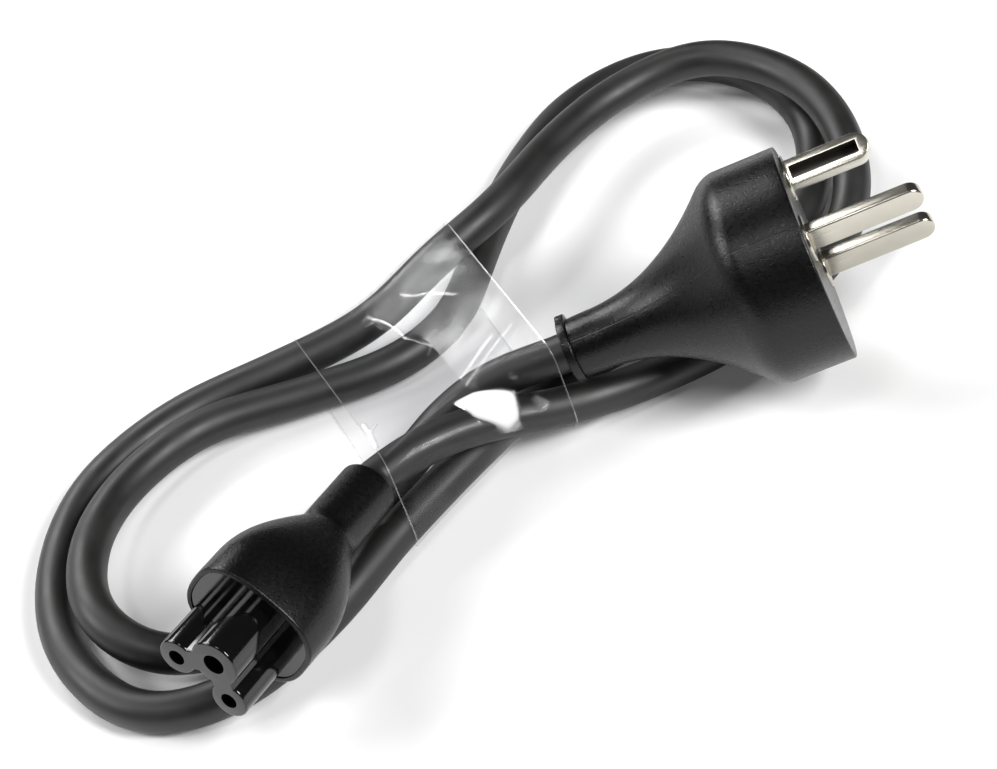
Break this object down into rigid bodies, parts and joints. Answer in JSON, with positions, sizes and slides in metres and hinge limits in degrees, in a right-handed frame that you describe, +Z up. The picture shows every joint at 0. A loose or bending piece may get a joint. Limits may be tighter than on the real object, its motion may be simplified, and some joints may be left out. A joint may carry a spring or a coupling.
{
  "type": "mains power cord",
  "caption": "Black mains lead with a round moulded plug at one end and a cloverleaf connector at the other, its cord folded in two loops held by clear film.",
  "frame": {"origin": "on the floor plane, under the middle of the box around plug, connector and film band", "axes": "+Z up from the floor that the lead lies on; the plug points roughly along +X and the connector towards -X and -Y"},
  "size_m": [0.1555, 0.1402, 0.0419],
  "materials": {
    "cord_pvc": "satin black flexible plastic",
    "moulded_pvc": "fine grained matte black",
    "insert_plastic": "glossy black",
    "pin_metal": "bright warm nickel plate",
    "contact_metal": "plain metal",
    "film_clear": "clear glossy film"
  },
  "bodies": {
    "root": {"cord": "cord_pvc", "plug_body": "moulded_pvc", "pin_line": "pin_metal", "pin_neutral": "pin_metal", "pin_earth": "pin_metal", "connector_body": "moulded_pvc", "connector_insert": "insert_plastic", "contact_line": "contact_metal", "contact_neutral": "contact_metal", "contact_earth": "contact_metal", "wrap_film": "film_clear"}
  },
  "joints": []
}
